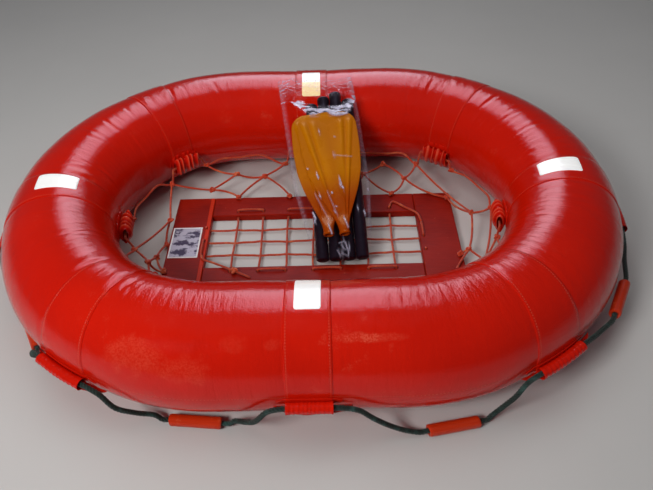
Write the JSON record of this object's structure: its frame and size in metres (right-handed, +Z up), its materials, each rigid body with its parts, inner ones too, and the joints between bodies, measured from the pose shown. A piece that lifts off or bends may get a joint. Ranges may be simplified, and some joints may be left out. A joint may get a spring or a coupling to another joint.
{
  "type": "life float",
  "caption": "Oval life float with a canvas-covered ring, rope-laced platform on a net, lifeline with sleeve floats, and bagged paddles.",
  "frame": {"origin": "middle of the ring on the ground", "axes": "+X along the ring's length, +Y from the front to the back, +Z up"},
  "size_m": [1.4958, 1.132, 0.3097],
  "materials": {
    "canvas": "glossy painted canvas, orange-red",
    "reflective": "white retro-reflective tape",
    "lifeline_rope": "dark green laid rope",
    "net_rope": "orange rope",
    "float_foam": "orange sleeve",
    "board": "glossy orange-red paint on board",
    "plate": "blank plate",
    "blade": "yellow-orange moulded plastic",
    "shaft": "dark tube and grip",
    "film": "clear film"
  },
  "bodies": {
    "float_ring": {"buoyant_ring": "canvas", "wrap_band_front": "canvas", "wrap_band_front_right": "canvas", "wrap_band_right": "canvas", "wrap_band_back_right": "canvas", "wrap_band_back": "canvas", "wrap_band_back_left": "canvas", "wrap_band_left": "canvas", "wrap_band_front_left": "canvas", "outer_becket_front": "canvas", "outer_becket_front_right": "canvas", "outer_becket_right": "canvas", "outer_becket_back_right": "canvas", "outer_becket_back": "canvas", "outer_becket_back_left": "canvas", "outer_becket_left": "canvas", "outer_becket_front_left": "canvas", "inner_becket_front": "canvas", "inner_becket_front_right": "canvas", "inner_becket_right": "canvas", "inner_becket_back_right": "canvas", "inner_becket_back": "canvas", "inner_becket_back_left": "canvas", "inner_becket_left": "canvas", "inner_becket_front_left": "canvas", "reflective_patch_front": "reflective", "reflective_patch_right": "reflective", "reflective_patch_back": "reflective", "reflective_patch_left": "reflective", "lifeline_front": "lifeline_rope", "lifeline_front_right": "lifeline_rope", "lifeline_right": "lifeline_rope", "lifeline_back_right": "lifeline_rope", "lifeline_back": "lifeline_rope", "lifeline_back_left": "lifeline_rope", "lifeline_left": "lifeline_rope", "lifeline_front_left": "lifeline_rope", "line_float_front": "float_foam", "line_float_front_right": "float_foam", "line_float_right": "float_foam", "line_float_back_right": "float_foam", "line_float_back": "float_foam", "line_float_back_left": "float_foam", "line_float_left": "float_foam", "line_float_front_left": "float_foam", "platform_net": "net_rope", "paddle_blade_lower": "blade", "paddle_blade_upper": "blade", "paddle_shaft_left": "shaft", "paddle_shaft_right": "shaft", "paddle_shaft_left_inner": "shaft", "paddle_shaft_right_inner": "shaft", "film_bag": "film"},
    "platform": {"end_board_left": "board", "end_board_right": "board", "platform_rail_front": "board", "platform_rail_back": "board", "name_plate": "plate", "platform_lacing": "net_rope"}
  },
  "joints": [
    {"name": "platform_drop", "type": "slide", "parent": "float_ring", "child": "platform", "axis": [0, 0, 1], "range_m": [-0.25, 0], "deforming": ["platform_net"]}
  ]
}
